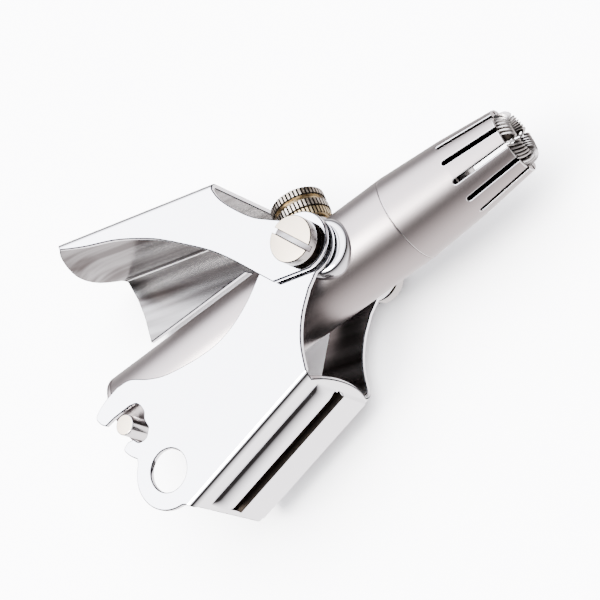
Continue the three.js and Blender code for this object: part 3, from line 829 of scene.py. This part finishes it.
def finger_lever():
    channel = Channel(ROOF_DIST, UPPER_OUT, math.pi + ROOF_TILT)
    near = channel.unfold(finger_cheek(False), 1)
    far = channel.unfold(finger_cheek(True), -1)
    tongue = spline([(TONGUE_U, 10.1), (TONGUE_U + 2.6, 7.0), (TONGUE_U + 4.2, 2.0),
                     (TONGUE_U + 4.4, -3.4), (TONGUE_U + 3.8, -7.6), (TONGUE_U + 2.3, -10.1)])
    tongue = [(u, v) for u, v in tongue if abs(v) < channel.half]
    outline = near + tongue + far[::-1]
    holes = [channel.unfold(arc(0, 0, 0.9, 0, 360, 24)[:-1], side) for side in (1, -1)]
    bm = flat_sheet(outline, holes, SHEET, RIM)
    curl_lines = [CURL_FROM + 0.4 * i for i in range(14)]
    across = [1.2 * i for i in range(-7, 8)]
    slice_sheet(bm, u_lines=curl_lines, v_lines=channel.bend_lines() + across)
    return roll(bm, SHEET, channel.fold(roof_dent), "finger_lever_sheet")


# ---- Head guard and rotor ---------------------------------------------------------------


def around(radius, wall, flat_wall):
    """Wraps a flat sheet round the barrel's axis: u along it, v round it at radius BARREL_R."""
    def shape(p):
        u, v, w = p[:, 0], p[:, 1], -p[:, 2]
        angle = v / BARREL_R
        r = radius(u) - w / flat_wall * wall(u)
        return np.stack([u, AXIS_Y + r * np.cos(angle), r * np.sin(angle)], axis=1)
    return shape


def slotted(count, gap, root_x, back_x, tip_x, radius, round_root):
    """The flat outline of a slotted tube, its seam on the first slot's middle."""
    pitch = 2 * math.pi * BARREL_R / count
    outline = [(back_x, -1.0), (back_x, count * pitch + 1.0), (tip_x, count * pitch + 1.0)]
    root_half = gap / 2 * BARREL_R / radius(root_x)
    tip_half = gap / 2 * BARREL_R / radius(tip_x)
    for k in range(count, -1, -1):
        outline.append((tip_x, k * pitch + tip_half))
        if round_root:
            for i in range(9):
                a = math.pi * i / 8
                outline.append((root_x - gap / 2 * math.sin(a), k * pitch + root_half * math.cos(a)))
        else:
            outline += [(root_x, k * pitch + root_half), (root_x, k * pitch - root_half)]
        outline.append((tip_x, k * pitch - tip_half))
    outline.append((tip_x, -1.0))
    return outline, 2 * math.pi * BARREL_R


def head_guard():
    def radius(x):
        return np.interp(x, [SEAM_X, SEAM_X + SEAM_BRIGHT, SLOT_ROOT_X, TIP_X],
                         [BARREL_R - SEAM_STEP, BARREL_R, ROOT_R, TIP_R])

    def wall(x):
        return radius(x) - np.interp(x, [SEAM_X, SOCKET_END_X, PRONG_FROM_X, TIP_X],
                                     [SOCKET_R, SOCKET_R, ROOT_R - PRONG_WALL, TIP_R - PRONG_WALL])

    outline, girth = slotted(SLOT_COUNT, SLOT_W, SLOT_ROOT_X, SEAM_X, TIP_X, radius, True)
    bm = flat_sheet(outline, [], PRONG_WALL, PRONG_RIM)
    slice_sheet(
        bm,
        u_lines=[SEAM_X + SEAM_BRIGHT, SOCKET_END_X, PRONG_FROM_X, SLOT_ROOT_X],
        v_lines=[girth * i / GUARD_STEPS for i in range(1, GUARD_STEPS)],
        keep_v=(0.0, girth),
    )
    # The seam band gets the lighter polished steel: a polished chamfer, and a painted highlight
    # standing in for the bright seam line.
    for face in bm.faces:
        spot = face.calc_center_median()
        if spot.x < SEAM_X + SEAM_BRIGHT and spot.z > -RIM:
            face.material_index = RIM_SLOT
    return roll(bm, PRONG_WALL, around(radius, wall, PRONG_WALL), "head_guard_shell")


def cutter_rotor():
    def radius(x):
        return np.interp(x, [ROTOR_BACK_X, CROWN_X], [ROTOR_BACK_R, ROTOR_TIP_R])

    def wall(x):
        return np.full_like(x, ROTOR_WALL)

    outline, girth = slotted(
        BLADE_COUNT, BLADE_GAP, BLADE_ROOT_X, ROTOR_BACK_X, CROWN_X, radius, False)
    bm = flat_sheet(outline, [], ROTOR_WALL, BLADE_RIM)
    slice_sheet(
        bm,
        u_lines=[BLADE_ROOT_X],
        v_lines=[girth * i / ROTOR_STEPS for i in range(1, ROTOR_STEPS)],
        keep_v=(0.0, girth),
    )
    return roll(bm, ROTOR_WALL, around(radius, wall, ROTOR_WALL), "cutter_rotor_blades")


def rotor_floor():
    """The disc that carries the blades on the spindle."""
    r = ROTOR_BACK_R - ROTOR_WALL + 0.1
    x0, x1 = (ROTOR_BACK_X + step for step in ROTOR_FLOOR)
    profile = [(x0, SPINDLE_R), (x0, r), (x1, r), (x1, SPINDLE_R)]
    return to_object(lathe(profile, 64, "X", AXIS, closed=True), "cutter_rotor_floor")


def crown_ring(bm, angles, widths, inset):
    """Sweeps over the crown's rounded section, at given angles and half widths along it."""
    rings = []
    for i, (angle, width) in enumerate(zip(angles, widths)):
        turn = math.pi * (CROWN_START + CROWN_SWEEP * i / (len(angles) - 1))
        ring = []
        for side, depth in ((-1, 0.5), (-1, 0.16), (-0.5, 0.0), (0.5, 0.0), (1, 0.16), (1, 0.5)):
            size = [c - inset - depth for c in CROWN_SIZE]
            x = CROWN_MID[0] + size[0] * math.sin(turn)
            r = CROWN_MID[1] + size[1] * math.cos(turn)
            a = angle + side * width
            ring.append(bm.verts.new((x, AXIS_Y + r * math.cos(a), r * math.sin(a))))
        rings.append(ring)
    for a, b in zip(rings, rings[1:]):
        join_rings(bm, a, b)
    bm.faces.new(rings[0][::-1])
    bm.faces.new(rings[-1])


def crown(teeth):
    """The rotor's mouth: slanted cutting teeth over a rounded core, in groups between slots."""
    bm = bmesh.new()
    open_half = math.asin(CROWN_GAP / 2 / CROWN_MID[1])
    share = 2 * math.pi / BLADE_COUNT - 2 * open_half
    for blade in range(BLADE_COUNT):
        first = blade * 2 * math.pi / BLADE_COUNT + open_half
        if not teeth:
            crown_ring(bm, [first + share / 2] * (CROWN_STEPS + 1),
                       [share / 2 - CORE_GAP] * (CROWN_STEPS + 1), CORE_INSET)
            continue
        pitch = share / CROWN_TEETH
        for k in range(CROWN_TEETH):
            start = first + pitch * (k + 0.5) - CROWN_LEAN / 2
            spots = [i / CROWN_STEPS for i in range(CROWN_STEPS + 1)]
            angles = [start + CROWN_LEAN * t for t in spots]
            crown_ring(bm, angles, [TOOTH_SHARE * pitch] * len(spots), 0.0)
    return to_object(bm, "crown_teeth" if teeth else "crown_core", 40)


# ---- Turned pieces ----------------------------------------------------------------------


def rounded(points, radius, steps=4):
    """(along, radius) pairs of a closed or open profile with its inner corners rounded."""
    out = [points[0]]
    for a, b, c in zip(points, points[1:], points[2:]):
        a, b, c = Vector(a), Vector(b), Vector(c)
        r = min(radius, 0.45 * (a - b).length, 0.45 * (c - b).length)
        p, q = b + (a - b).normalized() * r, b + (c - b).normalized() * r
        for i in range(steps + 1):
            t = i / steps
            out.append(tuple((1 - t) ** 2 * p + 2 * t * (1 - t) * b + t * t * q))
    out.append(points[-1])
    return out


def barrel():
    lip = 0.07
    bore = BORE_R - 0.05
    end = SEAM_X - SEAM_GAP
    profile = [(BARREL_FROM_X, bore), (BARREL_FROM_X, BARREL_R), (end - lip, BARREL_R),
               (end, BARREL_R - lip), (end, bore), (BARREL_FROM_X, bore)]
    bm = lathe(rounded(profile, 0.12, 3)[:-1], 160, "X", AXIS, closed=True)
    return to_object(bm, "barrel_shell", 35)


def tail():
    plug_r = BORE_R - 0.1
    profile = [(TAIL_X, 0), (TAIL_X, BARREL_R), (CAP_RIM_X, BARREL_R), (CAP_RIM_X, plug_r),
               (PLUG_END_X, plug_r), (PLUG_END_X, 0)]
    bm = lathe(rounded(profile, 0.55, 5), 128, "X", AXIS)
    return to_object(bm, "tail_cap_turned", 35)


def boss(sign, name):
    """A domed pivot boss that sits on the barrel, its foot inside the wall."""
    foot, top = sign * BOSS_FOOT, sign * BOSS_TOP
    profile = [(foot, SHAFT_R), (foot, BOSS_R), (top, BOSS_R), (top, SHAFT_R)]
    bm = lathe(rounded(profile, BOSS_ROUND, 14), 128, "Z", (BOSS_X, AXIS_Y, 0))
    return to_object(bm, name, 35)


def knob_seat():
    profile = [(SEAT_FOOT_Y, STUD_R), (SEAT_FOOT_Y, SEAT_R), (SEAT_TOP, SEAT_R), (SEAT_TOP, STUD_R)]
    return to_object(lathe(rounded(profile, 0.3, 4), 64, "Y", (KNOB_X, 0, 0)), "knob_seat_turned")


def screw(sign, name):
    profile = [(sign * SCREW_IN, SHAFT_R * 0.5), (sign * SCREW_IN, SCREW_R),
               (sign * SCREW_NECK, SCREW_R), (sign * SCREW_OUT, SCREW_R), (sign * SCREW_OUT, 0)]
    head = to_object(lathe([(sign * SCREW_IN, 0)] + rounded(profile, 0.12, 2), 96, "Z"), name)
    slot = box_mesh(-2 * SCREW_R, 2 * SCREW_R, -SCREW_SLOT_W / 2, SCREW_SLOT_W / 2,
                    sign * (SCREW_OUT - SCREW_SLOT_DEPTH), sign * (SCREW_OUT + 1))
    turn_about(slot, "Z", sign * SCREW_SLOT_TURN, (0, 0, 0))
    cut(head, [to_object(slot, "slot_cutter")])
    bevel(head, 0.07, 2, 50)
    bake_modifiers(head)
    # Top faces get the blasted finish; the slot floor, slot walls, bevels and the neck under the
    # head get painted shade, the neck's band a painted shadow where the head meets the ear.
    for face in head.data.polygons:
        at = (Vector(face.center) - PIVOT) / MM
        tilt = abs(face.normal.z)
        on_wall = math.hypot(at.x, at.y) > SCREW_R - 0.02
        if tilt > 0.98:
            on_top = abs(at.z) > SCREW_OUT - SCREW_SLOT_DEPTH / 2
            face.material_index = SCREW_TOP if on_top else SCREW_FLOOR
        elif tilt > 0.1 or not on_wall or abs(at.z) < SCREW_NECK:
            face.material_index = SCREW_SHADE
    return head


def face_finish(obj):
    """Puts the second material on the flat end faces, and leaves the first on the sides."""
    for face in obj.data.polygons:
        face.material_index = int(abs(face.normal.z) > 0.98)
    return obj


def pin():
    r, half = PIN
    profile = [(-half, 0), (-half, r), (half, r), (half, 0)]
    bm = lathe(rounded(profile, 0.22, 4), 64, "Z", PIN_AT)
    return face_finish(to_object(bm, "stop_pin_turned"))


def knurled(name, y0, y1, r, depth, chamfer):
    """A straight-knurled rim with chamfered ends, about the knob's axis."""
    count, bore = KNURL_COUNT, KNOB_BORE_R
    bm = bmesh.new()
    rings = []
    for y, shrink in ((y0, chamfer), (y0 + chamfer, 0), (y1 - chamfer, 0), (y1, chamfer)):
        ring = []
        for i in range(count):
            for share, drop in ((0.0, depth), (0.16, depth), (0.32, 0), (0.84, 0)):
                a = 2 * math.pi * (i + share) / count
                radius = min(r - drop, r - shrink)
                ring.append(bm.verts.new(turned("Y", (KNOB_X, 0, 0), y, radius, a)))
        rings.append(ring)
    face_r = r - depth - chamfer
    for y, radius in ((y1, face_r - FACE_LIP), (y1 - FACE_SINK, face_r - FACE_STEP),
                      (y1 - FACE_SINK, bore), (y0, bore)):
        turns = [2 * math.pi * i / (4 * count) for i in range(4 * count)]
        rings.append([bm.verts.new(turned("Y", (KNOB_X, 0, 0), y, radius, a)) for a in turns])
    for a, b in zip(rings, rings[1:] + rings[:1]):
        join_rings(bm, a, b)
    # Faces down in the knurl's grooves get the second material, painted shade.
    for face in bm.faces:
        reach = Vector((face.calc_center_median().x - KNOB_X, face.calc_center_median().z)).length
        face.material_index = int(r - depth * 1.05 - chamfer < reach < r - depth * 0.25)
    return to_object(bm, name, 30)


def knob_middle():
    y0, y1 = KNOB_WAIST_Y
    waist = [(y0, KNOB_BORE_R), (y0, KNOB_WAIST_R), ((y0 + y1) / 2, KNOB_WAIST_R - WAIST_HOLLOW),
             (y1, KNOB_WAIST_R), (y1, KNOB_BORE_R)]
    return to_object(lathe(waist, 96, "Y", (KNOB_X, 0, 0), closed=True), "knob_waist_turned")


def stud():
    y0, y1 = STUD_Y
    profile = [(y0, 0), (y0, STUD_R), (y1, STUD_R), (y1, 0)]
    return to_object(lathe(rounded(profile, 0.3, 4), 48, "Y", (KNOB_X, 0, 0)), "knob_stud_turned")


PIECES = [
    # The levers' rims carry painted dark reflection; their groove and inner faces carry painted
    # shade.
    (thumb_lever(), "thumb", "chrome_sheet", (CHROME, PAINTED_DARK_RIM, PAINTED_HOLLOW_SHADE, PAINTED_INSIDE_SHADE, CHROME),
     ("thumb_lever",)),
    (finger_lever(), "finger", "chrome_sheet", (CHROME, PAINTED_DARK_RIM, PAINTED_HOLLOW_SHADE, PAINTED_INSIDE_SHADE, CHROME),
     ("finger_lever",)),
    # The guard's slot walls get painted shade, near black in the slots.
    (head_guard(), "guard", "satin_steel", (SATIN, POLISHED, SATIN, CUTTER, PAINTED_HOLLOW_SHADE),
     ("head_guard",)),
    (cutter_rotor(), "cutter", "cutter_steel", (CUTTER,), ("cutter_rotor",)),
    (rotor_floor(), "cutter", "cutter_steel", (CUTTER,), ("cutter_rotor",)),
    (crown(True), "cutter", "cutter_steel", (CUTTER,), ("cutter_rotor",)),
    # The crown's core, under the teeth, is painted shade, near black between the teeth.
    (crown(False), "cutter", "cutter_steel", (PAINTED_HOLLOW_SHADE,), ("cutter_rotor",)),
    (barrel(), "barrel", "satin_steel", (SATIN,), ("barrel_tube",)),
    (tail(), "barrel", "satin_steel", (SATIN,), ("tail_cap",)),
    (boss(1, "pivot_boss_near_dome"), "barrel", "chrome_collar", (COLLAR,), ("pivot_boss_near",)),
    (boss(-1, "pivot_boss_far_dome"), "barrel", "chrome_collar", (COLLAR,), ("pivot_boss_far",)),
    (knob_seat(), "barrel", "chrome_collar", (COLLAR,), ("knob_seat",)),
    (pin(), "barrel", "blasted_steel", (POLISHED, BLASTED), ("stop_pin",)),
    (stud(), "barrel", "inner_steel", (POLISHED,), ("knob_stud",)),
    (screw(1, "pivot_screw_near_head"), "finger", "blasted_steel",
     (CUTTER, BLASTED, PAINTED_INSIDE_SHADE, PAINTED_HOLLOW_SHADE), ("pivot_screw_near",)),
    (screw(-1, "pivot_screw_far_head"), "finger", "blasted_steel",
     (CUTTER, BLASTED, PAINTED_INSIDE_SHADE, PAINTED_HOLLOW_SHADE), ("pivot_screw_far",)),
    (knurled("knob_base_knurled", *KNOB_BASE_Y, KNOB_BASE_R, *BASE_KNURL), "knob",
     "knurled_steel", (BRONZE, PAINTED_HOLLOW_SHADE), ("knob_base",)),
    (knurled("knob_rim_lower_knurled", *KNOB_LOWER_Y, KNOB_R, *RIM_KNURL), "knob",
     "knurled_steel", (KNURL, PAINTED_HOLLOW_SHADE), ("knob_rim_lower",)),
    (knob_middle(), "knob", "bronze", (BRONZE,), ("knob_waist",)),
    (knurled("knob_rim_upper_knurled", *KNOB_UPPER_Y, KNOB_R, *RIM_KNURL), "knob",
     "knurled_steel", (KNURL, PAINTED_HOLLOW_SHADE), ("knob_rim_upper",)),
]
for obj, body, slot, materials, nodes in PIECES:
    finish_piece(obj, body, slot, materials, *nodes)


# ---- Floor, light and camera ------------------------------------------------------------


def floor():
    bm = bmesh.new()
    bmesh.ops.create_grid(bm, x_segments=8, y_segments=8, size=2.5)
    mesh = bpy.data.meshes.new("floor")
    bm.to_mesh(mesh)
    bm.free()
    obj = bpy.data.objects.new("floor", mesh)
    bpy.context.scene.collection.objects.link(obj)
    m = bpy.data.materials.new("floor_paper")
    m.use_nodes = True
    bsdf = m.node_tree.nodes["Principled BSDF"]
    bsdf.inputs["Base Color"].default_value = (0.93, 0.93, 0.94, 1)
    bsdf.inputs["Roughness"].default_value = 0.9
    mesh.materials.append(m)
    obj.visible_glossy = False


def soft_box(name, direction, distance, size, watts, colour, mirrored=True):
    lamp = bpy.data.lights.new(name, "AREA")
    lamp.shape = "RECTANGLE"
    lamp.size, lamp.size_y = size
    lamp.energy = watts
    lamp.color = colour
    obj = bpy.data.objects.new(name, lamp)
    bpy.context.scene.collection.objects.link(obj)
    toward = Vector(direction).normalized()
    obj.location = toward * distance
    obj.rotation_euler = toward.to_track_quat("Z", "Y").to_euler()
    obj.visible_glossy = mirrored


def world():
    """A pale studio: bright overhead, dark round the horizon, a pinkish grey bench below."""
    w = bpy.data.worlds.new("studio")
    bpy.context.scene.world = w
    w.use_nodes = True
    nt = w.node_tree
    where = nt.nodes.new("ShaderNodeTexCoord")
    axes = nt.nodes.new("ShaderNodeSeparateXYZ")
    nt.links.new(where.outputs["Generated"], axes.inputs[0])
    dot = nt.nodes.new("ShaderNodeVectorMath")
    dot.operation = "DOT_PRODUCT"
    dot.inputs[1].default_value = ZENITH
    nt.links.new(where.outputs["Generated"], dot.inputs[0])
    height = dot.outputs["Value"]
    side = ramp(nt, axes.outputs["Y"], *SIDE_BAND, 0.0, 1.0)
    horizon = blend(nt, side, HORIZON_NEAR, HORIZON_BACK)
    below = blend(nt, ramp(nt, height, *BENCH_BAND, 1.0, 0.0), horizon, UNDERFOOT)
    sky = blend(nt, ramp(nt, height, *SKY_BAND, 0.0, 1.0), below, OVERHEAD)
    nt.links.new(sky, nt.nodes["Background"].inputs["Color"])
    nt.nodes["Background"].inputs["Strength"].default_value = WORLD_GAIN


def camera():
    data = bpy.data.cameras.new("camera")
    data.sensor_width = 36.0
    data.lens = LENS
    data.clip_start = 0.01
    obj = bpy.data.objects.new("camera", data)
    bpy.context.scene.collection.objects.link(obj)
    back = Vector(CAMERA_BACK).normalized()
    right = Vector(CAMERA_UP).cross(back).normalized()
    axes = Matrix((right, back.cross(right), back)).transposed()
    obj.matrix_world = Matrix.Translation(place(*CAMERA_AT)) @ axes.to_4x4()
    bpy.context.scene.camera = obj


floor()
world()
soft_box("key", KEY_FROM, 0.8, KEY_SIZE, KEY_W, KEY_COLOUR)
soft_box("fill", FILL_FROM, 1.6, FILL_SIZE, FILL_W, (1.0, 1.0, 1.0), mirrored=False)
camera()
